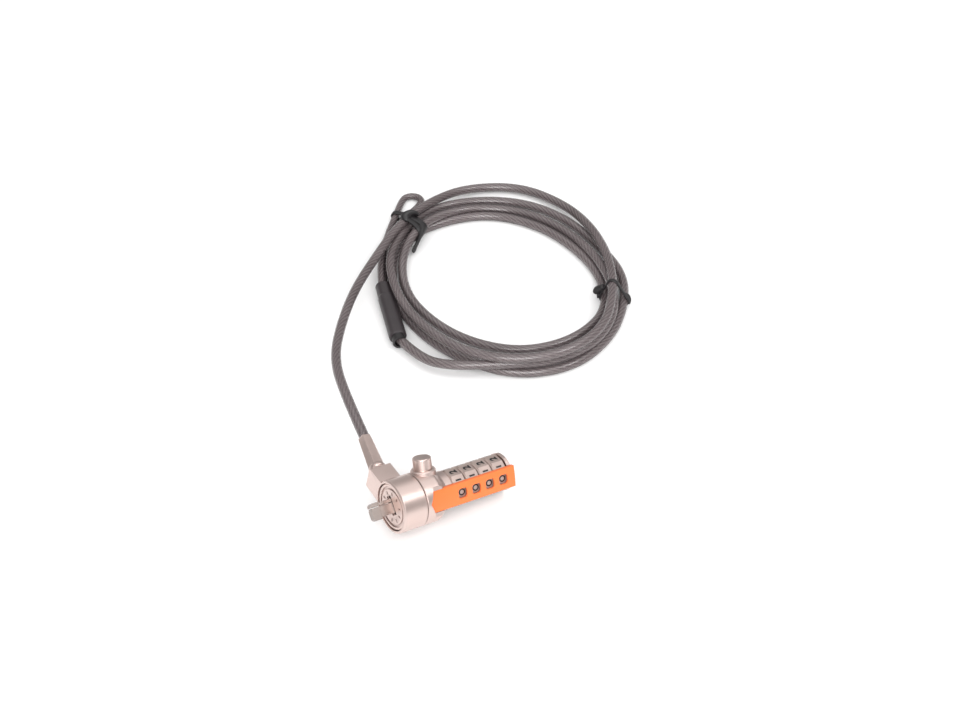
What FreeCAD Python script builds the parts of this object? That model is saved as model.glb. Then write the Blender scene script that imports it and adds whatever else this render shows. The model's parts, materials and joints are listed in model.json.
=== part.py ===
import FreeCAD, Part
import math
import os
from FreeCAD import Vector as V, Rotation, Placement

# Laptop cable lock: a four-wheel combination lock with a T head, on a coiled
# steel cable that ends in an anchor loop.  Millimetres, +Z up.
#
# The lock is drawn in its own frame first (X along the barrel, from the T head
# to the bar's end, +Z through the push button, -Y through the orange cover) and
# is then laid down in the pose in which it lies on its cable.

# ---------------------------------------------------------------- dimensions
# pose of the lock on the surface
PITCH = 10.5            # head raised, degrees about Y
ROLL = -24.6            # cover turned up, degrees about the barrel
SHIFT = V(-21.81, -13.25, 0.0)   # from the collar's centre to the row origin
LOCK_Z = 16.974           # height of the collar's centre over the surface

# collar and barrel
R_COLLAR = 10.45
X_COLLAR = 10.2
R_RIM = 9.35            # bore of the collar's front recess
R_DISC = 9.1
R_NECK = 8.0
RUN = 0.06              # radial running clearance
X_BARREL = 10.45
R_BARREL = 10.4
X_SHOULDER = 17.0
X_BAR = 21.0
R_BAR = 7.7
X_END = 52.2
X_WALL = 24.35
X_BLOCK = 50.3
R_BOSS = 4.9
Z_BOSS = 11.1

# button
X_BUTTON = 15.85
R_BUTTON = 3.65
Z_BUTTON = 15.8
BUTTON_TRAVEL = 3.0
SPINDLE_TRAVEL = 2.0

# number wheels
WHEELS = 4
WHEEL_PITCH = 6.39
X_WHEEL = 27.7          # centre of the first wheel
WHEEL_W = 6.0
BAND_W = 5.2
R_FLAT = 7.3            # apothem of the ten facets
R_HUB = 7.25
R_SLEEVE = 4.3
R_POCKET = 3.3
R_SPINDLE = 1.9
WEB = 0.8

# cover and spine
COVER_HALF = 4.25
R_COVER_IN = 7.9
R_CROWN = 45.2
Y_CROWN = 36.55         # centre of the cover's crown beyond the axis
X_TIP = 12.0
WINDOW = (4.0, 3.9)
X_WINDOW = 27.35
TIP_DEPTH = 1.9         # length of the cover's pointed end
R_BLOCK_FLAT = 7.5      # apothem of the end block's ten facets

# jaws
JAW_ANGLE = 24.0        # the head's long side, degrees from +Z towards +Y
JAW_T = 2.8
STEM_T = 2.3
X_JAW_PIN = 7.6

# collar block, pivot and ferrule
BLOCK_ANGLE = 30.0      # degrees from +Y towards +Z
R_BLOCK = 17.4
X_PIVOT = 4.5
R_PIVOT = 14.5
LEAN = 13.5             # ferrule, degrees from the block's radial direction
R_PIN = 1.25
FERRULE_LEN = 22.63

# cable
D_CABLE = 4.3
R_CABLE = D_CABLE / 2
R_EYE = 1.65

os.makedirs("parts", exist_ok=True)


# ------------------------------------------------------------------- helpers
def revolve_x(points):
    """Solid of revolution about X from (x, r) points."""
    pts = [V(x, r, 0) for x, r in points]
    face = Part.Face(Part.makePolygon(pts + [pts[0]]))
    return face.revolve(V(0, 0, 0), V(1, 0, 0), 360)


def cyl_x(r, x0, x1, y=0.0, z=0.0):
    return Part.makeCylinder(r, x1 - x0, V(x0, y, z), V(1, 0, 0))


def prism(points, origin, eu, ev, ew, w0, w1):
    """Polygon given in (u, v), pushed from w0 to w1 along ew."""
    pts = [origin + eu * u + ev * v + ew * w0 for u, v in points]
    face = Part.Face(Part.makePolygon(pts + [pts[0]]))
    return face.extrude(ew * (w1 - w0))


def block(x0, x1, y0, y1, z0, z1):
    return Part.makeBox(x1 - x0, y1 - y0, z1 - z0, V(x0, y0, z0))


def save(name, shape):
    shape.exportStep("parts/%s.step" % name)


LOCK_ROT = Rotation(V(0, 1, 0), PITCH).multiply(Rotation(V(1, 0, 0), ROLL))
LOCK = Placement(V(0, 0, LOCK_Z) + SHIFT, LOCK_ROT)


def lay(shape):
    """Lock frame to row frame."""
    return shape.transformed(LOCK.toMatrix(), True)


def row(p):
    """Point of the cable's frame to the row frame."""
    return V(p[0], p[1], p[2]) + SHIFT


EX, EY, EZ = V(1, 0, 0), V(0, 1, 0), V(0, 0, 1)

# ------------------------------------------------------------------ lock body
ja = math.radians(JAW_ANGLE)
JW = V(0, math.sin(ja), math.cos(ja))        # long side of the T head
JN = V(0, -math.cos(ja), math.sin(ja))       # its thickness

body = revolve_x([
    (1.35, 0), (1.35, R_NECK), (1.6, R_NECK), (1.6, 7.2), (2.3, 7.2), (2.3, R_NECK),
    (X_BARREL, R_NECK), (X_BARREL, R_BARREL - 0.3), (X_BARREL + 0.3, R_BARREL),
    (X_SHOULDER, R_BARREL), (X_SHOULDER + 0.9, R_BARREL - 0.35), (X_BAR - 0.5, R_BAR + 0.25),
    (X_BAR + 0.2, R_BAR), (X_WALL - 0.25, R_BAR), (X_WALL, R_BAR - 0.25), (X_WALL, 0)])
end_block = revolve_x([(X_BLOCK, 0), (X_BLOCK, R_BAR - 0.2), (X_BLOCK + 0.2, R_BAR), (X_END - 0.6, R_BAR),
                       (X_END, R_BAR - 0.6), (X_END, 0)])
facets = []
for j in range(10):
    a = math.radians(36 * j + 18)
    r = R_BLOCK_FLAT / math.cos(math.pi / 10)
    facets.append(V(X_BLOCK - 1, r * math.cos(a), r * math.sin(a)))
end_block = end_block.common(Part.Face(Part.makePolygon(facets + [facets[0]])).extrude(V(5, 0, 0)))


def crown_section(side, inner):
    """Cover or spine section in Y and Z: crowned outside, inner radius about the axis."""
    zc = COVER_HALF
    yo = side * (math.sqrt(R_CROWN ** 2 - zc ** 2) - Y_CROWN)
    yt = side * (R_CROWN - Y_CROWN)
    yi = side * math.sqrt(inner ** 2 - zc ** 2)
    outer = Part.Arc(V(0, yo, -zc), V(0, yt, 0), V(0, yo, zc)).toShape()
    s1 = Part.LineSegment(V(0, yo, zc), V(0, yi, zc)).toShape()
    inn = Part.Arc(V(0, yi, zc), V(0, side * inner, 0), V(0, yi, -zc)).toShape()
    s2 = Part.LineSegment(V(0, yi, -zc), V(0, yo, -zc)).toShape()
    return Part.Face(Part.Wire([outer, s1, inn, s2]))


spine = crown_section(1, 7.95)
spine.translate(V(X_BAR - 3.0, 0, 0))
spine = spine.extrude(V(X_END - 0.3 - (X_BAR - 3.0), 0, 0))
spine_foot_a = block(X_BAR - 3.0, X_WALL, 6.0, 8.3, -COVER_HALF, COVER_HALF)
spine_foot_b = block(X_BLOCK, X_END - 0.3, 6.0, 8.3, -COVER_HALF, COVER_HALF).common(cyl_x(8.2, X_BLOCK, X_END))
pad = block(X_BLOCK, X_END - 0.9, -8.3, -6.0, -COVER_HALF, COVER_HALF).common(cyl_x(R_COVER_IN, X_BLOCK, X_END))
pad_a = block(X_BAR - 3.0, X_WALL, -8.3, -6.0, -COVER_HALF, COVER_HALF).common(cyl_x(R_COVER_IN, 10, X_WALL))
boss = Part.makeCylinder(R_BOSS, Z_BOSS - 4.0, V(X_BUTTON, 0, 4.0), EZ)
boss = boss.makeChamfer(0.45, [e for e in boss.Edges if abs(e.BoundBox.ZMin - Z_BOSS) < 1e-6 and e.BoundBox.ZLength < 1e-6])

body = body.fuse([spine, spine_foot_a, pad_a, boss])
body = body.fuse([end_block, spine_foot_b, pad])

# recess for the cover in the barrel
g = COVER_HALF + 0.12
recess = prism([(X_TIP - 0.2, 0), (X_TIP + TIP_DEPTH - 0.15, g), (X_WALL + 1, g), (X_WALL + 1, -g), (X_TIP + TIP_DEPTH - 0.15, -g)],
               V(0, 0, 0), EX, EZ, EY, -12.0, -5.0).cut(cyl_x(R_COVER_IN, 5, 30))
body = body.cut(recess)
body = body.cut(prism([(X_TIP + TIP_DEPTH - 0.15, g), (X_TIP + TIP_DEPTH + 0.6, 6.4), (X_WALL, 6.4), (X_WALL, -6.4), (X_TIP + TIP_DEPTH + 0.6, -6.4),
                       (X_TIP + TIP_DEPTH - 0.15, -g)], V(0, 0, 0), EX, EZ, EY, -12.0, -8.5))
# button bore, spring pocket, spindle bore, jaw cavity, jaw pin holes, end bore
body = body.cut(Part.makeCylinder(R_BUTTON + RUN, 20.0, V(X_BUTTON, 0, -6.4), EZ))
body = body.cut(Part.makeCylinder(3.3, 3.0, V(X_BUTTON, 0, -8.6), EZ))
body = body.cut(cyl_x(R_SPINDLE + RUN, 8.6, X_WALL + 1))
body = body.cut(prism([(1.0, -5.0), (9.4, -5.0), (9.4, 0.9), (11.6, 0.9), (11.6, 2.8), (9.4, 2.8), (9.4, 6.6), (1.0, 6.6)], V(0, 0, 0), EX, JW, JN, -1.5, 1.5))
PIN_U, PIN_L = 4.1, -2.9
for w in (PIN_U, PIN_L):
    body = body.cut(Part.makeCylinder(0.7, 8.0, EX * X_JAW_PIN + JW * w - JN * 4.0, JN))
body = body.cut(cyl_x(4.0, X_BLOCK - 1, X_END + 1))
Y_SCREW = 5.85
body = body.cut(cyl_x(1.1, X_BLOCK + 0.35, X_END + 1, Y_SCREW, 0))
save("lock_body", lay(body))

# retaining ring, in the neck's groove
ring = cyl_x(9.0, 1.6, 2.3).cut(cyl_x(7.2, 1.0, 3.0))
ring = ring.cut(block(1, 3, -1.2, 1.2, -10, 0))
save("retaining_ring", lay(ring))

# front disc: slotted face plate
disc = revolve_x([(0.55, 0), (0.55, 6.95), (0.7, 7.1), (1.05, 7.1), (1.05, 7.9), (0.6, 7.95), (0.45, 8.1), (0.45, 8.85), (0.7, R_DISC), (1.35, R_DISC), (1.35, 0)])
disc = disc.cut(prism([(-1, -3.2), (3, -3.2), (3, 4.35), (-1, 4.35)], V(0, 0, 0), EX, JW, JN, -1.65, 1.65))
for k in range(10):
    a = 2 * math.pi * (k + 0.5) / 10
    er = JN * math.cos(a) + JW * math.sin(a)
    et = JN * -math.sin(a) + JW * math.cos(a)
    disc = disc.cut(prism([(4.75, -0.3), (6.2, -0.3), (6.2, 0.3), (4.75, 0.3)], V(0, 0, 0), er, et, EX, 0.0, 1.1))
save("front_disc", lay(disc))

# ------------------------------------------------------------- swivel collar
ba = math.radians(BLOCK_ANGLE)
BR = V(0, math.cos(ba), math.sin(ba))        # out through the block
BT = V(0, -math.sin(ba), math.cos(ba))       # along the pivot pin
collar = revolve_x([(0, 0), (0, 9.9), (0.45, R_COLLAR), (X_COLLAR - 0.3, R_COLLAR), (X_COLLAR, R_COLLAR - 0.3), (X_COLLAR, 0)])
hump = prism([(4.0, -5.0), (R_BLOCK - 0.5, -4.62), (R_BLOCK, -4.2), (R_BLOCK, 4.2), (R_BLOCK - 0.5, 4.62), (4.0, 5.0)],
             V(0, 0, 0), BR, BT, EX, 0.0, 9.0)
collar = collar.fuse(hump)
collar = collar.cut(cyl_x(R_RIM, -1, 2.5)).cut(cyl_x(R_NECK + RUN, 0, 12))
collar = collar.cut(prism([(11.5, -3.3), (19.0, -3.3), (19.0, 3.3), (11.5, 3.3)], V(0, 0, 0), BR, BT, EX,
                          X_PIVOT - 3.6, X_PIVOT + 3.6))
PIVOT = BR * R_PIVOT + EX * X_PIVOT
collar = collar.cut(Part.makeCylinder(R_PIN + 0.05, 9.0, PIVOT - BT * 5.2, BT))
save("swivel_collar", lay(collar))

# ------------------------------------------------------------------ ferrule
la = math.radians(LEAN)
FA = BR * math.cos(la) + EX * math.sin(la)   # ferrule's axis
FS = EX * math.cos(la) - BR * math.sin(la)   # across it
knuckle = Part.makeCylinder(2.9, 6.0, PIVOT - BT * 3.0, BT)
neck = prism([(0, -2.6), (4.6, -2.6), (4.6, 2.6), (0, 2.6)], PIVOT, FA, FS, BT, -3.0, 3.0)


def disc_at(s, r):
    return Part.Wire([Part.makeCircle(r, PIVOT + FA * s, FA)])


def revolve_a(points):
    pts = [PIVOT + FA * s + FS * r for s, r in points]
    return Part.Face(Part.makePolygon(pts + [pts[0]])).revolve(PIVOT, FA, 360)


shoulder = revolve_a([(4.2, 0), (4.2, 3.1), (4.6, 3.5), (5.1, 3.6), (5.7, 3.5), (6.3, 3.2), (6.3, 0)])


def hexagon(s, af):
    r = af / 2 / math.cos(math.pi / 6)
    pts = []
    for k in range(6):
        a = math.radians(60 * k)
        pts.append(PIVOT + FA * s + FS * (r * math.cos(a)) + BT * (r * math.sin(a)))
    return Part.makePolygon(pts + [pts[0]])


hexa = Part.makeLoft([hexagon(5.6, 6.1), hexagon(FERRULE_LEN - 0.5, 4.95)], True, True)
mouth = Part.makeLoft([hexagon(FERRULE_LEN - 0.5, 4.95), hexagon(FERRULE_LEN, 4.5)], True, True)
ferrule = knuckle.fuse([neck, shoulder, hexa, mouth])
ferrule = ferrule.cut(Part.makeCylinder(R_PIN, 8.0, PIVOT - BT * 4.0, BT))
dimple = Part.makeCylinder(0.75, 3.0, PIVOT + FA * (FERRULE_LEN - 5.0) + (FS * math.cos(math.radians(30)) + BT * math.sin(math.radians(30))) * 2.25,
                           FS * math.cos(math.radians(30)) + BT * math.sin(math.radians(30)))
ferrule = ferrule.cut(dimple)
save("ferrule", lay(ferrule))
save("ferrule_pin", lay(Part.makeCylinder(R_PIN, 8.7, PIVOT - BT * 4.9, BT)))

# -------------------------------------------------------------------- button
button = Part.makeCylinder(R_BUTTON, Z_BUTTON + 2.4, V(X_BUTTON, 0, -2.4), EZ)
button = button.makeFillet(0.55, [e for e in button.Edges if abs(e.BoundBox.ZMin - Z_BUTTON) < 1e-6 and e.BoundBox.ZLength < 1e-6])
button = button.cut(block(X_BUTTON - 5, X_BUTTON + 5, -2.2, 2.2, -3.0, 5.4))
# slanted slots that the spindle's cross pin runs in
X_PIN0 = 16.9
sl = math.hypot(SPINDLE_TRAVEL, BUTTON_TRAVEL)
su = V(-SPINDLE_TRAVEL / sl, 0, BUTTON_TRAVEL / sl)
sv = V(su.z, 0, -su.x)
slot = prism([(0, -0.68), (sl, -0.68), (sl, 0.68), (0, 0.68)], V(X_PIN0, 0, 0), su, sv, EY, -5, 5)
slot = slot.fuse([Part.makeCylinder(0.68, 10, V(X_PIN0, -5, 0), EY),
                  Part.makeCylinder(0.68, 10, V(X_PIN0, -5, 0) + su * sl, EY)])
button = button.cut(slot)
# groove for the clip that stops the button against the boss
button = button.cut(Part.makeCylinder(R_BUTTON + 1, 0.5, V(X_BUTTON, 0, 6.3), EZ).cut(
    Part.makeCylinder(3.1, 0.5, V(X_BUTTON, 0, 6.3), EZ)))
save("push_button", lay(button))
clip = Part.makeCylinder(3.66, 0.5, V(X_BUTTON, 0, 6.3), EZ).cut(Part.makeCylinder(3.1, 0.5, V(X_BUTTON, 0, 6.3), EZ))
clip = clip.cut(block(X_BUTTON, X_BUTTON + 5, -1.0, 1.0, 6, 7))
save("button_clip", lay(clip))

# spring under the button
turns, wire_r, r_spring = 4.0, 0.25, 2.75
z0, z1 = -8.6 + wire_r, -2.4 - wire_r
helix = Part.makeHelix((z1 - z0) / turns, z1 - z0, r_spring)
profile = Part.Wire([Part.makeCircle(wire_r, V(r_spring, 0, 0), V(0, 1, 0))])
spring = Part.Wire(helix).makePipeShell([profile], True, True)
spring.translate(V(X_BUTTON, 0, z0))
save("button_spring", lay(spring))

# ------------------------------------------------------------------- spindle
spindle = cyl_x(R_SPINDLE, 10.9, 51.4)
spindle = spindle.fuse(prism([(5.2, 1.60), (7.5, 1.26), (11.5, 1.26), (11.5, 2.54), (7.5, 2.54), (5.2, 2.20)],
                             V(0, 0, 0), EX, JW, JN, -1.2, 1.2))
spindle = spindle.fuse(Part.makeCylinder(0.6, 6.0, V(X_PIN0, -3.0, 0), EY))
for k in range(WHEELS):
    xw = X_WHEEL + WHEEL_PITCH * k + WEB / 2 + 0.2
    spindle = spindle.fuse(block(xw, xw + 0.8, -3.0, 0, -0.45, 0.45))
save("spindle", lay(spindle))

# ---------------------------------------------------------------------- jaws
upper = prism([(8.8, 2.76), (8.8, 4.7), (8.1, 5.4), (3.4, 5.4), (2.6, 3.25), (-5.2, 3.25), (-5.2, 3.6), (-7.7, 3.6),
               (-8.4, 3.2), (-8.7, 2.8), (-8.7, 2.02), (3.4, 2.02), (5.2, 2.42), (5.5, 2.50), (7.5, 2.68)],
              V(0, 0, 0), EX, JW, JN, -JAW_T / 2, JAW_T / 2)
lower = prism([(8.8, 1.04), (8.8, -3.3), (8.2, -3.95), (3.4, -3.95), (2.6, -2.35), (-5.2, -2.35), (-5.2, -3.1), (-7.7, -3.1),
               (-8.4, -2.7), (-8.7, -2.2), (-8.7, 0.95), (-8.45, 1.3), (-8.45, 1.78), (3.4, 1.78), (5.2, 1.38),
               (5.5, 1.30), (7.5, 1.12)], V(0, 0, 0), EX, JW, JN, -JAW_T / 2, JAW_T / 2)
# the stem is thinner than the head
for w0, w1 in ((-STEM_T, -STEM_T / 2), (STEM_T / 2, STEM_T)):
    waist = prism([(-5.2, -6.0), (0.2, -6.0), (0.2, 6.0), (-5.2, 6.0)], V(0, 0, 0), EX, JW, JN, w0, w1)
    upper = upper.cut(waist)
    lower = lower.cut(waist)
upper = upper.cut(Part.makeCylinder(0.75, 8.0, EX * X_JAW_PIN + JW * PIN_U - JN * 4.0, JN))
lower = lower.cut(Part.makeCylinder(0.75, 8.0, EX * X_JAW_PIN + JW * PIN_L - JN * 4.0, JN))
save("upper_jaw", lay(upper))
save("lower_jaw", lay(lower))
pins = Part.makeCompound([Part.makeCylinder(0.7, 7.8, EX * X_JAW_PIN + JW * w - JN * 3.9, JN) for w in (PIN_U, PIN_L)])
save("jaw_pins", lay(pins))

# -------------------------------------------------------------------- wheels
for k in range(WHEELS):
    xc = X_WHEEL + WHEEL_PITCH * k
    rc = R_FLAT / math.cos(math.pi / 10)
    pts = []
    for j in range(10):
        a = math.radians(36 * j + 18)
        pts.append(V(xc - BAND_W / 2, rc * math.cos(a), rc * math.sin(a)))
    band = Part.Face(Part.makePolygon(pts + [pts[0]])).extrude(V(BAND_W, 0, 0))
    hw = WHEEL_W / 2
    hub = revolve_x([(xc - hw, 0), (xc - hw, R_HUB - 0.35), (xc - hw + 0.3, R_HUB), (xc + hw - 0.3, R_HUB), (xc + hw, R_HUB - 0.35), (xc + hw, 0)])
    wheel = hub.fuse(band).cut(cyl_x(R_SLEEVE, xc - 5, xc + 5))
    save("number_wheel_%d" % (k + 1), lay(wheel))
    sleeve = cyl_x(R_SLEEVE, xc - hw, xc + hw)
    sleeve = sleeve.cut(cyl_x(R_POCKET, xc + WEB / 2, xc + 5)).cut(cyl_x(R_POCKET, xc - 5, xc - WEB / 2))
    sleeve = sleeve.cut(cyl_x(R_SPINDLE + RUN, xc - 5, xc + 5))
    sleeve = sleeve.cut(block(xc - 1, xc + 1, -3.2, 0, -0.6, 0.6))
    save("gate_sleeve_%d" % (k + 1), lay(sleeve))

# detent plate along the spine
plate = cyl_x(7.95, 24.7, 50.0).cut(cyl_x(7.8, 24.0, 51.0)).common(block(24, 51, 0, 9, -2.6, 2.6))
for k in range(WHEELS - 1):
    xg = X_WHEEL + WHEEL_PITCH * (k + 0.5)
    plate = plate.cut(block(xg - 0.25, xg + 0.25, 7, 9, -2.0, 3))
save("detent_plate", lay(plate))

# --------------------------------------------------------------------- cover
cover = crown_section(-1, R_COVER_IN)
cover.translate(V(X_TIP - 1.0, 0, 0))
cover = cover.extrude(V(X_END - 0.1 - (X_TIP - 1.0), 0, 0))
cover = cover.common(prism([(X_TIP, -0.0), (X_TIP + TIP_DEPTH, COVER_HALF), (X_END, COVER_HALF), (X_END, -COVER_HALF), (X_TIP + TIP_DEPTH, -COVER_HALF)],
                           V(0, 0, 0), EX, EZ, EY, -12.0, -5.0))
for k in range(WHEELS):
    xw = X_WINDOW + WHEEL_PITCH * k
    win = block(xw - WINDOW[0] / 2, xw + WINDOW[0] / 2, -10, -5, -WINDOW[1] / 2, WINDOW[1] / 2)
    win = win.makeFillet(1.1, [e for e in win.Edges if e.BoundBox.YLength > 1])
    cover = cover.cut(win)
save("side_cover", lay(cover))

# -------------------------------------------------------- end plug and screw
plug = cyl_x(4.0, 50.35, X_END - 0.15).fuse(cyl_x(3.1, 48.9, 50.35)).cut(cyl_x(R_SPINDLE + RUN, 48.0, 51.6))
save("end_plug", lay(plug))
screw = cyl_x(1.1, X_BLOCK + 0.35, X_END - 0.2, Y_SCREW, 0).cut(block(X_END - 0.7, X_END, Y_SCREW - 2, Y_SCREW + 2, -0.2, 0.2))
save("code_set_screw", lay(screw))


# --------------------------------------------------------------------- cable
def tube(points, r, name):
    """Straight runs joined by tangent arcs, swept with a round section."""
    pts = [row(p) for p in points]
    edges, radii, here, total = [], [], pts[0], 0.0
    for i in range(1, len(pts) - 1):
        a, b = pts[i] - pts[i - 1], pts[i + 1] - pts[i]
        run = min(a.Length, b.Length)
        a.normalize()
        b.normalize()
        turn = a.getAngle(b)
        radius = 0.45 * run / math.tan(turn / 2)
        t = 0.45 * run
        p1, p2 = pts[i] - a * t, pts[i] + b * t
        axis = (b - a)
        axis.normalize()
        mid = pts[i] + axis * (radius / math.cos(turn / 2) - radius)
        edges.append(Part.LineSegment(here, p1).toShape())
        edges.append(Part.Arc(p1, mid, p2).toShape())
        total += (p1 - here).Length + radius * turn
        here = p2
        radii.append(radius)
    edges.append(Part.LineSegment(here, pts[-1]).toShape())
    total += (pts[-1] - here).Length
    path = Part.Wire(edges)
    start = pts[1] - pts[0]
    start.normalize()
    section = Part.Wire([Part.makeCircle(r, pts[0], start)])
    solid = path.makePipeShell([section], True, False)
    want = math.pi * r * r * total
    print("%s: length %.1f mm, radii %s, least %.1f, volume %.0f against %.0f" %
          (name, total, [round(x, 1) for x in radii], min(radii), solid.Volume, want))
    return solid


LEAD = [(10.26, 36.34, 18.56), (16.2, 62.6, 19.2), (25.2, 87.9, 16.2), (41.1, 109.6, 13.4), (59.3, 129.4, 11.4),
        (80.1, 146.4, 9.8), (101.9, 162.5, 9.3), (126.2, 173.3, 7.9), (152.9, 179.8, 3.0), (177.1, 165.7, 2.7),
        (186.1, 139.8, 3.2), (182.3, 112.5, 6.9)]
TAIL = [(99.2, 49.9, 6.3), (84.0, 55.2, 6.4), (71.5, 65.0, 4.7), (64.2, 79.5, 3.8), (62.3, 96.9, 3.6)]
save("cable_lead", tube(LEAD, R_CABLE, "cable_lead"))
save("cable_tail", tube(TAIL, R_CABLE, "cable_tail"))

# the coil's outer shape: angle about its centre, inner radius, outer radius, top
COIL_CENTRE = (127.0, 107.0)
COIL = [(0, 39.3, 57.0, 8.9), (10, 39.3, 57.1, 8.6), (20, 39.7, 59.3, 6.6), (30, 40.6, 61.8, 5.0),
        (40, 41.9, 64.2, 4.6), (50, 43.6, 65.9, 4.8), (60, 45.4, 67.1, 5.2), (70, 46.8, 67.8, 6.1),
        (80, 47.7, 67.9, 7.1), (90, 48.5, 67.6, 8.0), (100, 50.2, 65.5, 8.5), (110, 50.2, 62.5, 8.5),
        (120, 48.5, 60.2, 8.5), (130, 47.0, 58.6, 8.7), (140, 45.8, 57.1, 8.8), (150, 44.6, 55.7, 8.8),
        (160, 43.7, 54.6, 8.7), (170, 43.1, 55.0, 8.4), (180, 42.9, 55.8, 7.8), (190, 42.9, 57.1, 7.1),
        (200, 43.3, 59.0, 6.2), (210, 44.1, 61.4, 5.2), (220, 45.3, 64.3, 4.6), (230, 46.6, 67.4, 4.6),
        (240, 48.3, 69.2, 6.5), (250, 49.5, 69.7, 6.5), (260, 50.1, 69.7, 5.2), (270, 50.1, 68.7, 4.7),
        (280, 49.6, 66.5, 4.9), (290, 48.7, 64.1, 6.0), (300, 47.0, 61.6, 7.6), (310, 44.9, 59.7, 8.4),
        (320, 42.9, 58.4, 8.7), (330, 41.3, 57.5, 8.7), (340, 40.2, 56.3, 8.8), (350, 39.5, 55.1, 8.9)]


def coil_solid():
    stations = []
    for a, ri, ro, top in COIL:
        c, s = math.cos(math.radians(a)), math.sin(math.radians(a))
        b = 1.2
        sec = [(ri + b, 0.0), (ro - b, 0.0), (ro, b), (ro, top - b), (ro - b, top), (ri + b, top), (ri, top - b), (ri, b)]
        stations.append([row((COIL_CENTRE[0] + r * c, COIL_CENTRE[1] + r * s, z)) for r, z in sec])
    faces = []
    n, m = len(stations), 8
    for i in range(n):
        p, q = stations[i], stations[(i + 1) % n]
        for j in range(m):
            k = (j + 1) % m
            for tri in ((p[j], q[j], q[k]), (p[j], q[k], p[k])):
                faces.append(Part.Face(Part.makePolygon([tri[0], tri[1], tri[2], tri[0]])))
    shell = Part.makeShell(faces)
    shell.sewShape()
    solid = Part.Solid(shell)
    if solid.Volume < 0:
        solid.reverse()
    return solid


coil = coil_solid()
save("cable_coil", coil)
print("coil volume %.0f valid %s" % (coil.Volume, coil.isValid()))

# anchor loop: the cable's end doubled back
EYE = [(74.3, 131.2, 5.1), (78.0, 137.9, 5.1), (81.9, 144.6, 4.7), (86.1, 151.1, 4.0), (90.8, 157.2, 3.2),
       (95.7, 163.3, 2.6), (100.8, 169.1, 2.0), (106.2, 174.7, 1.8), (111.8, 180.1, 1.75), (116.4, 184.9, 1.75),
       (120.7, 189.0, 1.75), (123.9, 191.2, 1.75), (127.8, 190.5, 1.75), (130.0, 187.3, 1.75), (129.3, 183.4, 1.75),
       (126.1, 181.2, 1.75), (121.8, 178.9, 1.75), (116.7, 177.1, 1.75), (111.5, 174.2, 1.75), (106.2, 169.8, 1.75),
       (100.9, 164.8, 1.75), (95.5, 159.2, 1.75), (90.2, 153.5, 1.75), (85.3, 147.5, 1.75), (80.9, 141.0, 1.75),
       (77.2, 134.0, 1.75)]
save("eye_loop", tube(EYE, R_EYE, "eye_loop"))

# crimp sleeve: flat-sided barrel over the doubled cable
S0, S1 = row((62.3, 97.0, 3.6)), row((75.8, 132.6, 3.6))
sa = S1 - S0
slen = sa.Length
sa.normalize()
sb = V(-sa.y, sa.x, 0)
sb.normalize()
sc = sa.cross(sb)
if sc.z < 0:
    sc = sc * -1


def stadium(s, half, r):
    """Flat-sided round section at s along the sleeve: half width, half height r."""
    o = S0 + sa * s
    e = half - r
    w = [Part.LineSegment(o + sb * -e + sc * r, o + sb * e + sc * r).toShape(),
         Part.Arc(o + sb * e + sc * r, o + sb * half, o + sb * e - sc * r).toShape(),
         Part.LineSegment(o + sb * e - sc * r, o + sb * -e - sc * r).toShape(),
         Part.Arc(o + sb * -e - sc * r, o - sb * half, o + sb * -e + sc * r).toShape()]
    return Part.Wire(w)


sleeve = Part.makeLoft([stadium(0, 3.6, 3.1), stadium(0.8, 4.0, 3.5)], True, True)
sleeve = sleeve.fuse(Part.makeLoft([stadium(0.8, 4.0, 3.5), stadium(slen - 9.5, 4.0, 3.5)], True, True))
sleeve = sleeve.fuse(Part.makeLoft([stadium(slen - 9.5, 4.0, 3.5), stadium(slen - 8.5, 3.7, 3.3)], True, True))
sleeve = sleeve.fuse(Part.makeLoft([stadium(slen - 8.5, 3.7, 3.3), stadium(slen, 3.6, 3.2)], True, True))
save("crimp_sleeve", sleeve)
print("sleeve", sleeve.BoundBox.ZMin, sleeve.isValid())

# ring on the cable at the sleeve's mouth
ringc = S0 - sa * 3.4
ring2 = Part.makeCylinder(3.1, 3.4, ringc, sa).cut(Part.makeCylinder(R_CABLE, 3.4, ringc, sa))
save("sleeve_ring", ring2)

# band round the loop's limbs
bc = row((112.9, 178.3, 1.75))
bd = V(9.0, 8.6, 0)
bd.normalize()
bn = V(-bd.y, bd.x, 0)
band = prism([(-1.9, -5.4), (1.9, -5.4), (1.9, 5.2), (-1.9, 5.2)], bc, bd, bn, EZ, -1.75, 2.6)
band = band.makeFillet(1.0, [e for e in band.Edges if abs(e.BoundBox.ZLength) > 1])
save("loop_band", band)


# twist ties round the coil
def tie(centre, along, half, top, tails):
    """Flat band in the plane across the coil, with its twisted ends."""
    c = row(centre)
    al = V(along[0], along[1], 0)
    al.normalize()
    ac = V(-al.y, al.x, 0)
    ring = prism([(-half, 0.0), (half, 0.0), (half, top), (-half, top)], V(c.x, c.y, 0), ac, EZ, al, -1.5, 1.5)
    hole = prism([(-half + 0.9, 0.8), (half - 0.9, 0.8), (half - 0.9, top - 0.9), (-half + 0.9, top - 0.9)],
                 V(c.x, c.y, 0), ac, EZ, al, -2.5, 2.5)
    s = ring.cut(hole)
    for p, q, r in tails:
        a, b = row(p), row(q)
        s = s.fuse(Part.makeCylinder(r, (b - a).Length, a, (b - a)))
    return s


tie_l = tie((113.5, 163.5, 0), (0.97, -0.25), 10.4, 12.2, [((110.9, 154.6, 5.0), (102.5, 149.2, 2.4), 1.6)])
save("twist_tie_left", tie_l)
tie_r = tie((161.8, 68.3, 0), (0.743, 0.669), 8.6, 9.6,
            [((157.0, 73.8, 4.2), (153.9, 76.2, 3.8), 1.9), ((167.6, 62.3, 4.6), (164.2, 60.6, 2.3), 1.7)])
save("twist_tie_right", tie_r)
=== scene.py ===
import bpy, bmesh, json, math
import numpy as np
from mathutils import Vector, Matrix, Quaternion


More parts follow.
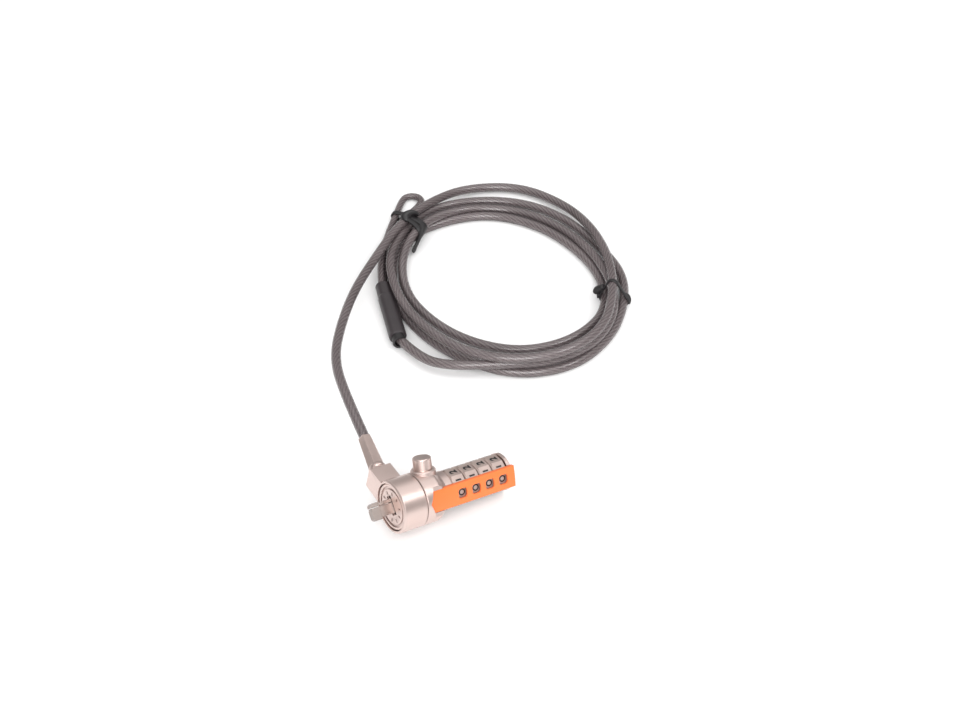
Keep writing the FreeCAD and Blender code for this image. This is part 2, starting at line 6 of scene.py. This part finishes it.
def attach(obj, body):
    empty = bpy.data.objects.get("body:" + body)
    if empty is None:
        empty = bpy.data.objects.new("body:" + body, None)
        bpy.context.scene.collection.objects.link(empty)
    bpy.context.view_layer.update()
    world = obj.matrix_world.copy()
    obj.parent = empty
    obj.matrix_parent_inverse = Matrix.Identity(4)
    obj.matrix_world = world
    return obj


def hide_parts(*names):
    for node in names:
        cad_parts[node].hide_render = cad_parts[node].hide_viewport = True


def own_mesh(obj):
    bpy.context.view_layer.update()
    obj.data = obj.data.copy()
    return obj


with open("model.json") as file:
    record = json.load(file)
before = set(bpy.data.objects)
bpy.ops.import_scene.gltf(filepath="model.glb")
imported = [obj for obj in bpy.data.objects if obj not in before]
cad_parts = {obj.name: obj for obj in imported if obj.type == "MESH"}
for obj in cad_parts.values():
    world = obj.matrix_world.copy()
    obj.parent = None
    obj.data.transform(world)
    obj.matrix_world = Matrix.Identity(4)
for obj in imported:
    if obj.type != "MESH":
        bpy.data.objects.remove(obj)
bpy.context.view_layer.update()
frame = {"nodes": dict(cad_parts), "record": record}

MM = 0.001
SHIFT = (-21.81, -13.25, 0.0)      # cable frame to row frame, mm
LOCK_Z = 16.974
PITCH, ROLL = 10.5, -24.6

LOCK = (Matrix.Translation(Vector((SHIFT[0], SHIFT[1], LOCK_Z)) * MM)
        @ Matrix.Rotation(math.radians(PITCH), 4, "Y") @ Matrix.Rotation(math.radians(ROLL), 4, "X"))


def row(p):
    return Vector(((p[0] + SHIFT[0]) * MM, (p[1] + SHIFT[1]) * MM, (p[2] + SHIFT[2]) * MM))


def lock(x, y, z):
    return LOCK @ Vector((x * MM, y * MM, z * MM))


# ------------------------------------------------------------------ camera
cam_data = bpy.data.cameras.new("camera")
cam = bpy.data.objects.new("camera", cam_data)
bpy.context.scene.collection.objects.link(cam)
bpy.context.scene.camera = cam
cam_data.lens = 52.5
cam_data.sensor_width = 36.0
cam_data.clip_start, cam_data.clip_end = 0.01, 20
cam.location = row((-174.8, -318.7, 405.3))
el, hd = math.radians(41.0), math.radians(34.06)
look = Vector((math.sin(hd) * math.cos(el), math.cos(hd) * math.cos(el), -math.sin(el)))
cam.rotation_mode = "QUATERNION"
cam.rotation_quaternion = look.to_track_quat("-Z", "Y")


# ------------------------------------------------------------------ materials
def new_mat(name):
    m = bpy.data.materials.new(name)
    m.use_nodes = True
    nt = m.node_tree
    return m, nt, nt.nodes["Principled BSDF"]


def node(nt, kind, **props):
    n = nt.nodes.new(kind)
    for k, v in props.items():
        setattr(n, k, v)
    return n


def ramp(nt, source, stops):
    r = node(nt, "ShaderNodeValToRGB")
    e = r.color_ramp.elements
    while len(e) < len(stops):
        e.new(0.5)
    for s, (pos, col) in zip(e, stops):
        s.position = pos
        s.color = (*col, 1.0) if len(col) == 3 else col
    nt.links.new(source, r.inputs["Fac"])
    return r


def noise(nt, coord, scale, detail=3.0, rough=0.5, stretch=None):
    n = node(nt, "ShaderNodeTexNoise")
    n.inputs["Scale"].default_value = scale
    n.inputs["Detail"].default_value = detail
    n.inputs["Roughness"].default_value = rough
    if stretch:
        mp = node(nt, "ShaderNodeMapping")
        mp.inputs["Scale"].default_value = stretch
        nt.links.new(coord, mp.inputs["Vector"])
        coord = mp.outputs["Vector"]
    nt.links.new(coord, n.inputs["Vector"])
    return n


def metal(name, light, dark, rough, grain=0.12, bump=0.02, wear=0.3, metallic=1.0):
    """Satin plated metal: fine cloudy tone, a little grain, edges rubbed brighter."""
    m, nt, b = new_mat(name)
    tc = node(nt, "ShaderNodeTexCoord")
    big = noise(nt, tc.outputs["Object"], 90.0, 4.0)
    fine = noise(nt, tc.outputs["Object"], 2600.0, 2.0)
    col = ramp(nt, big.outputs["Fac"], [(0.3, dark), (0.7, light)])
    geo = node(nt, "ShaderNodeNewGeometry")
    edge = ramp(nt, geo.outputs["Pointiness"], [(0.49, (0, 0, 0)), (0.56, (1, 1, 1))])
    mix = node(nt, "ShaderNodeMix", data_type="RGBA")
    nt.links.new(edge.outputs["Color"], mix.inputs[0])
    nt.links.new(col.outputs["Color"], mix.inputs[6])
    mix.inputs[7].default_value = (*[min(1.0, c * (1 + wear * 0.5)) for c in light], 1)
    nt.links.new(mix.outputs[2], b.inputs["Base Color"])
    b.inputs["Metallic"].default_value = metallic
    r = node(nt, "ShaderNodeMapRange")
    r.inputs["To Min"].default_value = max(0.05, rough - grain)
    r.inputs["To Max"].default_value = rough + grain
    nt.links.new(big.outputs["Fac"], r.inputs["Value"])
    nt.links.new(r.outputs["Result"], b.inputs["Roughness"])
    bp = node(nt, "ShaderNodeBump")
    bp.inputs["Strength"].default_value = bump * 5
    bp.inputs["Distance"].default_value = 0.00002
    nt.links.new(fine.outputs["Fac"], bp.inputs["Height"])
    bev = node(nt, "ShaderNodeBevel")
    bev.samples = 4
    bev.inputs["Radius"].default_value = 0.00022
    nt.links.new(bev.outputs["Normal"], bp.inputs["Normal"])
    nt.links.new(bp.outputs["Normal"], b.inputs["Normal"])
    return m


def plastic(name, base, dark, rough, bump=0.15, scale=3000.0, spec=0.5, bevel=0.0002):
    m, nt, b = new_mat(name)
    tc = node(nt, "ShaderNodeTexCoord")
    big = noise(nt, tc.outputs["Object"], 60.0, 4.0)
    fine = noise(nt, tc.outputs["Object"], scale, 2.0)
    col = ramp(nt, big.outputs["Fac"], [(0.3, dark), (0.7, base)])
    nt.links.new(col.outputs["Color"], b.inputs["Base Color"])
    b.inputs["Specular IOR Level"].default_value = spec
    r = node(nt, "ShaderNodeMapRange")
    r.inputs["To Min"].default_value = max(0.05, rough - 0.07)
    r.inputs["To Max"].default_value = rough + 0.07
    nt.links.new(big.outputs["Fac"], r.inputs["Value"])
    nt.links.new(r.outputs["Result"], b.inputs["Roughness"])
    bp = node(nt, "ShaderNodeBump")
    bp.inputs["Strength"].default_value = bump
    bp.inputs["Distance"].default_value = 0.00003
    nt.links.new(fine.outputs["Fac"], bp.inputs["Height"])
    if bevel:
        bev = node(nt, "ShaderNodeBevel")
        bev.samples = 4
        bev.inputs["Radius"].default_value = bevel
        nt.links.new(bev.outputs["Normal"], bp.inputs["Normal"])
    nt.links.new(bp.outputs["Normal"], b.inputs["Normal"])
    return m


NICKEL = metal("satin_nickel", (0.575, 0.462, 0.428), (0.50, 0.40, 0.37), 0.34, 0.05)
WHEEL = metal("wheel_metal", (0.50, 0.40, 0.365), (0.42, 0.335, 0.305), 0.36, 0.05, metallic=0.62)
JAW = metal("jaw_steel", (0.27, 0.23, 0.212), (0.18, 0.154, 0.141), 0.32, 0.06)
STEEL = metal("steel", (0.60, 0.60, 0.61), (0.48, 0.48, 0.50), 0.30, 0.08)
BRASS = metal("brass", (0.80, 0.63, 0.30), (0.68, 0.50, 0.22), 0.30, 0.08)
ORANGE = plastic("orange_plastic", (0.86, 0.180, 0.042), (0.81, 0.160, 0.036), 0.36, 0.10)
BLACK = plastic("black_plastic", (0.013, 0.011, 0.012), (0.007, 0.006, 0.007), 0.45, 0.2)
SHRINK = plastic("shrink_tube", (0.034, 0.027, 0.030), (0.024, 0.019, 0.021), 0.40, 0.15, 1500.0)
PAINT = plastic("digit_paint", (0.012, 0.010, 0.010), (0.008, 0.007, 0.007), 0.5, 0.05, bevel=0)

# smoky clear sheath
SHEATH, nt, b = new_mat("cable_sheath")
tc = node(nt, "ShaderNodeTexCoord")
n1 = noise(nt, tc.outputs["Object"], 70.0, 3.0)
c1 = ramp(nt, n1.outputs["Fac"], [(0.3, (0.114, 0.091, 0.093)), (0.7, (0.152, 0.124, 0.127))])
nt.links.new(c1.outputs["Color"], b.inputs["Base Color"])
b.inputs["Alpha"].default_value = 0.66
b.inputs["Roughness"].default_value = 0.24
b.inputs["Specular IOR Level"].default_value = 1.0
n2 = noise(nt, tc.outputs["Object"], 900.0, 2.0)
bp = node(nt, "ShaderNodeBump")
bp.inputs["Strength"].default_value = 0.12
bp.inputs["Distance"].default_value = 0.0001
nt.links.new(n2.outputs["Fac"], bp.inputs["Height"])
nt.links.new(bp.outputs["Normal"], b.inputs["Normal"])

# laid wire under the sheath: painted shade in the grooves between strands and painted highlight on the strand crowns,
# with a little random tone
STRAND, nt, b = new_mat("strand_steel")
tc = node(nt, "ShaderNodeTexCoord")
at = node(nt, "ShaderNodeAttribute", attribute_name="painted_groove_shade_mask")
n1 = noise(nt, tc.outputs["Object"], 400.0, 3.0)
mx = node(nt, "ShaderNodeMath", operation="MULTIPLY_ADD")
mx.inputs[1].default_value = 0.25
nt.links.new(n1.outputs["Fac"], mx.inputs[0])
nt.links.new(at.outputs["Fac"], mx.inputs[2])
# dark grooves are painted shade, light crowns are painted highlight
c1 = ramp(nt, mx.outputs["Value"], [(0.12, (0.125, 0.102, 0.104)), (0.62, (0.32, 0.268, 0.270)), (1.0, (0.52, 0.45, 0.45))])
nt.links.new(c1.outputs["Color"], b.inputs["Base Color"])
b.inputs["Metallic"].default_value = 0.85
b.inputs["Roughness"].default_value = 0.33

# ------------------------------------------------------------------ helpers
def add_mesh(name, verts, faces, mat, smooth=True):
    me = bpy.data.meshes.new(name)
    me.from_pydata([tuple(v) for v in verts], [], faces)
    me.validate()
    me.materials.append(mat)
    if smooth:
        me.polygons.foreach_set("use_smooth", [True] * len(me.polygons))
    o = bpy.data.objects.new(name, me)
    bpy.context.scene.collection.objects.link(o)
    return o


def nurbs(name, points, radius, mat, res=8, bevel_res=5):
    cu = bpy.data.curves.new(name, "CURVE")
    cu.dimensions = "3D"
    sp = cu.splines.new("NURBS")
    sp.points.add(len(points) - 1)
    for q, p in zip(sp.points, points):
        q.co = (*row(p), 1.0)
    sp.order_u = 3
    sp.use_endpoint_u = True
    sp.resolution_u = res
    cu.resolution_u = res
    cu.bevel_depth = 0.0
    o = bpy.data.objects.new(name, cu)
    bpy.context.scene.collection.objects.link(o)
    # the centreline, read from the spline itself
    bpy.context.view_layer.update()
    dg = bpy.context.evaluated_depsgraph_get()
    me = bpy.data.meshes.new_from_object(o.evaluated_get(dg))
    line = np.array([v.co[:] for v in me.vertices])
    bpy.data.meshes.remove(me)
    cu.bevel_depth = radius * MM
    cu.bevel_resolution = bevel_res
    cu.use_fill_caps = True
    cu.materials.append(mat)
    return o, line


def even(line, step):
    d = np.linalg.norm(np.diff(line, axis=0), axis=1)
    keep = np.concatenate([[True], d > 1e-9])
    line = line[keep]
    s = np.concatenate([[0], np.cumsum(np.linalg.norm(np.diff(line, axis=0), axis=1))])
    n = max(2, int(round(s[-1] / step)))
    t = np.linspace(0, s[-1], n + 1)
    return np.stack([np.interp(t, s, line[:, k]) for k in range(3)], 1), t


def frames(line):
    """Tangent and two sides along a line, carried without twist."""
    tan = np.gradient(line, axis=0)
    tan /= np.linalg.norm(tan, axis=1)[:, None]
    u = np.cross(tan[0], [0, 0, 1.0])
    u /= np.linalg.norm(u)
    us = [u]
    for i in range(1, len(line)):
        u = us[-1] - tan[i] * np.dot(us[-1], tan[i])
        u /= np.linalg.norm(u)
        us.append(u)
    us = np.array(us)
    return tan, us, np.cross(tan, us)


def rope(name, line, radius, lay, strands, mat, step, sides=5, start=0.0, end=0.0):
    """Right-hand laid strand: lobed section turned steadily along the line. mm in, metres out."""
    pts, s = even(line, step * MM)
    keep = (s >= start * MM) & (s <= s[-1] - end * MM)
    pts, s = pts[keep], s[keep]
    t, u, v = frames(pts)
    rs = radius * math.sin(math.pi / strands) / (1 + math.sin(math.pi / strands))
    rc = radius - rs
    ring = []
    for k in range(strands):
        a0 = 2 * math.pi * k / strands
        for j in range(sides):
            b0 = (j / (sides - 1) - 0.5) * math.radians(150)
            x, y = rc * math.cos(a0) + rs * math.cos(a0 + b0), rc * math.sin(a0) + rs * math.sin(a0 + b0)
            ring.append((math.hypot(x, y), math.atan2(y, x)))
    R = np.array([r[0] for r in ring]) * MM
    A = np.array([r[1] for r in ring])
    m = len(R)
    ang = A[None, :] + 2 * math.pi * (s[:, None] / (lay * MM))
    P = pts[:, None, :] + R[None, :, None] * (np.cos(ang)[..., None] * u[:, None, :] + np.sin(ang)[..., None] * v[:, None, :])
    verts = P.reshape(-1, 3)
    faces = []
    for i in range(len(pts) - 1):
        for j in range(m):
            k = (j + 1) % m
            faces.append((i * m + j, i * m + k, (i + 1) * m + k, (i + 1) * m + j))
    faces.append(tuple(range(m - 1, -1, -1)))
    faces.append(tuple((len(pts) - 1) * m + j for j in range(m)))
    o = add_mesh(name, verts, faces, mat)
    # radial height of the lobed section, 0 in the grooves and 1 on the crowns: the mask for the strands' painted
    # groove shade and painted crown highlight
    painted_groove_shade_mask = np.tile((R - R.min()) / (R.max() - R.min()), len(pts)).astype(np.float32)
    at = o.data.attributes.new("painted_groove_shade_mask", "FLOAT", "POINT")
    if len(at.data) == len(painted_groove_shade_mask):
        at.data.foreach_set("value", painted_groove_shade_mask)
    return o


# ------------------------------------------------------------------ the cable
CABLE = [(10.26, 36.34, 18.56), (16.2, 62.6, 19.2), (25.2, 87.9, 16.2), (41.1, 109.6, 13.4), (59.3, 129.4, 11.4),
         (80.1, 146.4, 9.8), (101.9, 162.5, 9.3), (126.2, 173.3, 7.9), (152.9, 179.8, 3), (177.1, 165.7, 2.7),
         (186.1, 139.8, 3.2), (182.3, 112.5, 6.9), (172.7, 87.1, 9), (158.2, 64.4, 10.8), (137.7, 44.7, 10.6),
         (112.8, 40, 10.8), (90.1, 49.4, 10.8), (75.7, 69.0, 10.0), (72.5, 98.9, 7.2), (76.7, 124.5, 7.8),
         (88.1, 147.9, 6.7), (107.1, 163.7, 5.8), (129.9, 174.2, 3), (154.4, 167.7, 2.2), (172.8, 150.8, 2.2),
         (180.6, 127.1, 2.2), (179.8, 102.5, 2.2), (175.5, 78.2, 2.2), (159.9, 58.5, 2.2), (139.9, 44.4, 2.2),
         (115.4, 38.8, 2.2), (91.9, 48.7, 2.2), (78.7, 69.9, 2.2), (72.8, 93.8, 2.2), (74.8, 118.6, 2.2),
         (85.1, 140.8, 2.2), (101.7, 160.6, 2.2), (128.2, 162.9, 2.2), (151.9, 154.5, 2.2), (166.2, 132.4, 2.2),
         (169.6, 106.8, 2.2), (165.7, 82.4, 2.2), (152.2, 61, 2.2), (128.1, 53, 2.2), (103.4, 59, 2.2),
         (87.5, 78.1, 2.2), (81.1, 102, 2.2), (83.2, 127, 2.2), (95.6, 147.9, 5.8), (116.2, 162.3, 6.7),
         (141.1, 164.3, 3.9), (163, 151.9, 2.2), (172.6, 127.8, 3.2), (172.4, 101.6, 4.8), (165.5, 76.4, 6.2),
         (152.7, 55.3, 6.2), (131.6, 42.2, 6.2), (108, 44, 4.8), (86.8, 54, 7.2), (69.0, 66.6, 5.8), (62.2, 79.9, 4.2),
         (62.3, 96.9, 3.6)]
cable, cable_line = nurbs("cable_sheath", CABLE, 2.15, SHEATH, 10, 6)
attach(cable, "cable")
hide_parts("cable_lead", "cable_coil", "cable_tail")
strands = rope("cable_strands", cable_line, 1.86, 25.0, 7, STRAND, 1.0, 5, 0.2, 0.2)
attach(strands, "cable")

EYE = [(74.3, 131.2, 5.1), (78.0, 137.9, 5.1), (81.9, 144.6, 4.7), (86.1, 151.1, 4.0), (90.8, 157.2, 3.2),
       (95.7, 163.3, 2.6), (100.8, 169.1, 2.0), (106.2, 174.7, 1.8), (111.8, 180.1, 1.75), (116.4, 184.9, 1.75),
       (120.7, 189.0, 1.75), (123.9, 191.2, 1.75), (127.8, 190.5, 1.75), (130.0, 187.3, 1.75), (129.3, 183.4, 1.75),
       (126.1, 181.2, 1.75), (121.8, 178.9, 1.75), (116.7, 177.1, 1.75), (111.5, 174.2, 1.75), (106.2, 169.8, 1.75),
       (100.9, 164.8, 1.75), (95.5, 159.2, 1.75), (90.2, 153.5, 1.75), (85.3, 147.5, 1.75), (80.9, 141.0, 1.75),
       (77.2, 134.0, 1.75)]
eye, eye_line = nurbs("anchor_loop", EYE, 1.65, SHEATH, 8, 6)
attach(eye, "cable")
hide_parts("eye_loop")
eye_strand = rope("anchor_loop_strands", eye_line, 1.42, 19.0, 6, STRAND, 0.8, 5, 0.2, 0.2)
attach(eye_strand, "cable")

# ------------------------------------------------------------------ ties round the coil
def crossings(centre, along, lines, reach):
    """Where lines pass the upright plane at centre (mm, cable frame): (across, z, radius) in mm."""
    c = np.array(row((*centre, 0))[:2]) / MM
    d = np.array(along) / np.linalg.norm(along)
    a = np.array((-d[1], d[0]))
    out = []
    for line, rad in lines:
        p = line / MM
        f = (p[:, :2] - c) @ d
        for i in range(len(f) - 1):
            if f[i] * f[i + 1] <= 0 and f[i] != f[i + 1]:
                t = f[i] / (f[i] - f[i + 1])
                q = p[i] * (1 - t) + p[i + 1] * t
                u = (q[:2] - c) @ a
                if abs(u) < reach:
                    out.append((u, q[2], rad))
    return out


def hull(points):
    pts = sorted(set((round(x, 4), round(y, 4)) for x, y in points))
    def half(seq):
        h = []
        for p in seq:
            while len(h) > 1 and (h[-1][0] - h[-2][0]) * (p[1] - h[-2][1]) - (h[-1][1] - h[-2][1]) * (p[0] - h[-2][0]) <= 0:
                h.pop()
            h.append(p)
        return h[:-1]
    return np.array(half(pts) + half(pts[::-1]))


def band(verts, faces, centre, along, found, width, thick, skew=0.0, n=72):
    """Strap pulled round what passes through the plane: rounded section swept along the outline."""
    pts = []
    for u, z, r in found:
        for k in range(40):
            a = 2 * math.pi * k / 40
            pts.append((u + (r - 0.15) * math.cos(a), z + (r - 0.15) * math.sin(a)))
    h = hull(pts)
    h = np.vstack([h, h[:1]])
    s = np.concatenate([[0], np.cumsum(np.linalg.norm(np.diff(h, axis=0), axis=1))])
    t = np.linspace(0, s[-1], n + 1)[:-1]
    ring = np.stack([np.interp(t, s, h[:, k]) for k in range(2)], 1)
    for _ in range(2):
        ring = (np.roll(ring, 1, 0) + 2 * ring + np.roll(ring, -1, 0)) / 4
    tan = np.roll(ring, -1, 0) - np.roll(ring, 1, 0)
    tan /= np.linalg.norm(tan, axis=1)[:, None]
    nor = np.stack([tan[:, 1], -tan[:, 0]], 1)
    c = np.array(row((*centre, 0)))
    d = np.array([*(np.array(along) / np.linalg.norm(along)), 0.0])
    a = np.array([-d[1], d[0], 0.0])
    m = 14
    base = len(verts)
    for i in range(n):
        for j in range(m):
            b0 = 2 * math.pi * j / m
            cw, sw = math.cos(b0), math.sin(b0)
            w = width / 2 * math.copysign(abs(cw) ** 0.6, cw)
            o = thick / 2 + thick / 2 * math.copysign(abs(sw) ** 0.8, sw)
            w += 0.12 * math.sin(5 * 2 * math.pi * i / n) * width / 3
            q = ring[i] + nor[i] * o
            p = c + d * (w + skew * q[0]) * MM + a * q[0] * MM
            p[2] = max(0.02, q[1]) * MM
            verts.append(tuple(p))
    for i in range(n):
        for j in range(m):
            k, l = (i + 1) % n, (j + 1) % m
            faces.append((base + i * m + j, base + k * m + j, base + k * m + l, base + i * m + l))


def strap(verts, faces, path, width, thick, turns=0.0, m=12, steps=40):
    """Free end of a tie: flat rounded section along a bent path, with some twist and round tips."""
    P = np.array([row(p)[:] for p in path])
    for _ in range(3):
        Q = [P[0]]
        for i in range(len(P) - 1):
            Q += [P[i] * 0.75 + P[i + 1] * 0.25, P[i] * 0.25 + P[i + 1] * 0.75]
        P = np.array(Q + [P[-1]])
    P, s = even(P, float(np.linalg.norm(np.diff(P, axis=0), axis=1).sum()) / steps)
    t, u, v = frames(P)
    base = len(verts)
    n = len(P)
    for i in range(n):
        f = i / (n - 1)
        tip = max(0.08, min(1.0, math.sqrt(max(0.0, 1 - (2 * f - 1) ** 8))))
        tw = 2 * math.pi * turns * f
        for j in range(m):
            b0 = 2 * math.pi * j / m
            x, y = width / 2 * math.cos(b0) * tip, thick / 2 * math.sin(b0) * tip
            x, y = x * math.cos(tw) - y * math.sin(tw), x * math.sin(tw) + y * math.cos(tw)
            p = P[i] + (u[i] * x + v[i] * y) * MM
            p[2] = max(p[2], 0.02 * MM)
            verts.append(tuple(p))
    for i in range(n - 1):
        for j in range(m):
            l = (j + 1) % m
            faces.append((base + i * m + j, base + (i + 1) * m + j, base + (i + 1) * m + l, base + i * m + l))
    faces.append(tuple(base + j for j in range(m)))
    faces.append(tuple(base + (n - 1) * m + j for j in range(m - 1, -1, -1)))


both = [(cable_line, 2.15), (eye_line, 1.65)]
V1, F1 = [], []
c0, d0 = (159.6, 67.3), (0.78, 0.63)
band(V1, F1, c0, d0, crossings(c0, d0, both, 13), 2.0, 0.9)
strap(V1, F1, [(157.4, 70.2, 8.4), (156.0, 72.0, 6.8), (154.9, 73.2, 4.9), (154.4, 73.4, 3.6)], 3.7, 3.0, 0.5)
strap(V1, F1, [(156.8, 71.3, 6.6), (155.4, 72.2, 4.0), (155.0, 71.6, 1.6)], 1.8, 1.2, 0.6)
strap(V1, F1, [(163.4, 63.0, 6.0), (164.6, 61.5, 4.4), (164.6, 60.8, 2.4), (164.0, 60.6, 1.3)], 2.6, 1.9, 0.5)
tie_r = add_mesh("coil_tie_right", V1, F1, BLACK)
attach(tie_r, "cable")
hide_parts("twist_tie_right")

V2, F2 = [], []
c0, d0 = (112.2, 162.8), (0.91, 0.41)
band(V2, F2, c0, d0, crossings(c0, d0, both, 9), 3.4, 1.2)
c1_, d1_ = (109.4, 161.8), (0.97, 0.24)
band(V2, F2, c1_, d1_, crossings(c1_, d1_, both, 9), 2.8, 1.2)
strap(V2, F2, [(106.4, 163.6, 10.6), (109.4, 164.6, 12.2), (112.4, 164.6, 12.3), (115.2, 164.2, 10.8)], 5.2, 2.6, 0.5)
strap(V2, F2, [(113.6, 158.6, 9.2), (112.0, 156.4, 7.6), (108.8, 153.4, 5.2), (105.0, 150.6, 3.6), (102.2, 148.9, 2.2)], 3.6, 1.8, 0.3)
tie_l = add_mesh("coil_tie_left", V2, F2, BLACK)
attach(tie_l, "cable")
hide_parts("twist_tie_left")

V3, F3 = [], []
c0, d0 = (112.9, 178.9), (0.8, 0.6)
band(V3, F3, c0, d0, crossings(c0, d0, [(eye_line, 1.65)], 7), 3.0, 0.9)
lb = add_mesh("loop_tie", V3, F3, BLACK)
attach(lb, "cable")
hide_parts("loop_band")
print("crossings", len(crossings((159.6, 67.3), (0.78, 0.63), both, 13)), len(crossings((112.2, 162.8), (0.91, 0.41), both, 9)),
      len(crossings((112.9, 178.9), (0.8, 0.6), [(eye_line, 1.65)], 7)))

N = frame["nodes"]

# ------------------------------------------------------------------ CAD nodes' materials
LOOK = {"satin_nickel": NICKEL, "wheel_metal": WHEEL, "jaw_steel": JAW, "steel": STEEL, "brass": BRASS,
        "orange_plastic": ORANGE, "cable_sheath": SHEATH, "shrink_tube": SHRINK, "black_plastic": BLACK}
slots = {s["node"]: s["material_slot"] for s in frame["record"]["subparts"]}
for name, o in N.items():
    m = LOOK[slots[name]]
    if not o.material_slots:
        o.data.materials.append(m)
    for k in range(len(o.material_slots)):
        o.material_slots[k].material = m

# ------------------------------------------------------------------ spring under the button
turns, wire_r, coil_r, z0, z1, per, sides = 4.0, 0.25, 2.75, -8.35, -2.7, 28, 8
count = int(turns * per) + 1
helix = []
for i in range(count):
    a = 2 * math.pi * i / per
    helix.append(lock(15.85 + coil_r * math.cos(a), coil_r * math.sin(a), z0 + (z1 - z0) * i / (count - 1)))
helix = np.array([tuple(p) for p in helix])
t_, u_, v_ = frames(helix)
verts, faces = [], []
for i in range(count):
    for j in range(sides):
        b0 = 2 * math.pi * j / sides
        verts.append(tuple(helix[i] + (u_[i] * math.cos(b0) + v_[i] * math.sin(b0)) * wire_r * MM))
for i in range(count - 1):
    for j in range(sides):
        k = (j + 1) % sides
        faces.append((i * sides + j, i * sides + k, (i + 1) * sides + k, (i + 1) * sides + j))
faces.append(tuple(range(sides - 1, -1, -1)))
faces.append(tuple((count - 1) * sides + j for j in range(sides)))
spring = add_mesh("button_spring_wire", verts, faces, STEEL)
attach(spring, "lock")
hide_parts("button_spring")
base, top = Vector(lock(15.85, 0, -8.6)), Vector(lock(15.85, 0, -2.4))
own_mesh(spring)

# ------------------------------------------------------------------ digits
def digit(d):
    """Flat outline of one digit, centred, mm: a round 0, a plain bar for 1, the rest from the built-in font."""
    if d == 0:
        n = 40
        co = []
        for rx, ry in ((1.41, 1.49), (0.80, 0.88)):
            co += [(rx * math.cos(2 * math.pi * i / n), ry * math.sin(2 * math.pi * i / n)) for i in range(n)]
        return co, [(i, (i + 1) % n, n + (i + 1) % n, n + i) for i in range(n)]
    if d == 1:
        return [(0.0, -1.25), (0.7, -1.25), (0.7, 1.25), (0.0, 1.25)], [(0, 1, 2, 3)]
    cu = bpy.data.curves.new("digit", "FONT")
    cu.body = str(d)
    cu.size = 1.0
    cu.offset = 0.055
    cu.resolution_u = 6
    t = bpy.data.objects.new("digit", cu)
    bpy.context.scene.collection.objects.link(t)
    bpy.context.view_layer.update()
    me = bpy.data.meshes.new_from_object(t.evaluated_get(bpy.context.evaluated_depsgraph_get()))
    co = np.array([v.co[:2] for v in me.vertices])
    lo, hi = co.min(0), co.max(0)
    co = (co - (lo + hi) / 2) * (3.25 / (hi[1] - lo[1]))
    polys = [tuple(f.vertices) for f in me.polygons]
    bpy.data.objects.remove(t)
    bpy.data.meshes.remove(me)
    return [(float(x), float(y)) for x, y in co], polys


for w in range(4):
    xc = 27.7 + 6.39 * w
    verts, faces = [], []
    for d in range(10):
        co, polys = digit(d)
        # the digit's top points along the barrel; 0 faces -Y, then 1, 2, 3 upwards
        a = math.radians(180 - 36 * d)
        er = Vector((0, math.cos(a), math.sin(a)))
        up = Vector((-1, 0, 0))
        rt = up.cross(er)
        base = len(verts)
        for x, y in co:
            verts.append(LOCK @ ((Vector((xc, 0, 0)) + er * 7.315 + up * y + rt * x) * MM))
        for f in polys:
            faces.append([base + i for i in f])
    o = add_mesh("wheel_digits_%d" % (w + 1), verts, faces, PAINT, False)
    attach(o, "wheel_%d" % (w + 1))

# ------------------------------------------------------------------ floor and light
floor_m, nt, b = new_mat("floor")
b.inputs["Base Color"].default_value = (0.93, 0.93, 0.93, 1)
b.inputs["Roughness"].default_value = 0.9
bpy.ops.mesh.primitive_plane_add(size=8, location=(0, 0, 0))
floor = bpy.context.object
floor.name = "floor"
floor.data.materials.append(floor_m)

world = bpy.data.worlds.new("world")
bpy.context.scene.world = world
world.use_nodes = True
bg = world.node_tree.nodes["Background"]
bg.inputs["Color"].default_value = (1.0, 0.985, 0.975, 1)
bg.inputs["Strength"].default_value = 0.5


def area(name, loc, target, size, power, colour=(1, 1, 1)):
    l = bpy.data.lights.new(name, "AREA")
    l.size = size
    l.energy = power
    l.color = colour
    o = bpy.data.objects.new(name, l)
    bpy.context.scene.collection.objects.link(o)
    o.location = loc
    o.rotation_mode = "QUATERNION"
    o.rotation_quaternion = (Vector(target) - Vector(loc)).to_track_quat("-Z", "Y")
    return o


fwd = Vector((math.sin(hd), math.cos(hd), 0))
rgt = Vector((math.cos(hd), -math.sin(hd), 0))
mid = Vector((0.04, 0.05, 0))
area("key", mid + rgt * 0.04 - fwd * 0.86 + Vector((0, 0, 0.60)), mid, 0.75, 9.0)
area("fill", mid + rgt * 0.76 - fwd * 0.23 + Vector((0, 0, 0.95)), mid, 0.35, 2.8)
area("top", mid + fwd * 0.1 + Vector((0, 0, 1.1)), mid, 2.0, 10.0)

bpy.context.scene.view_settings.view_transform = "Standard"
bpy.context.scene.view_settings.look = "None"
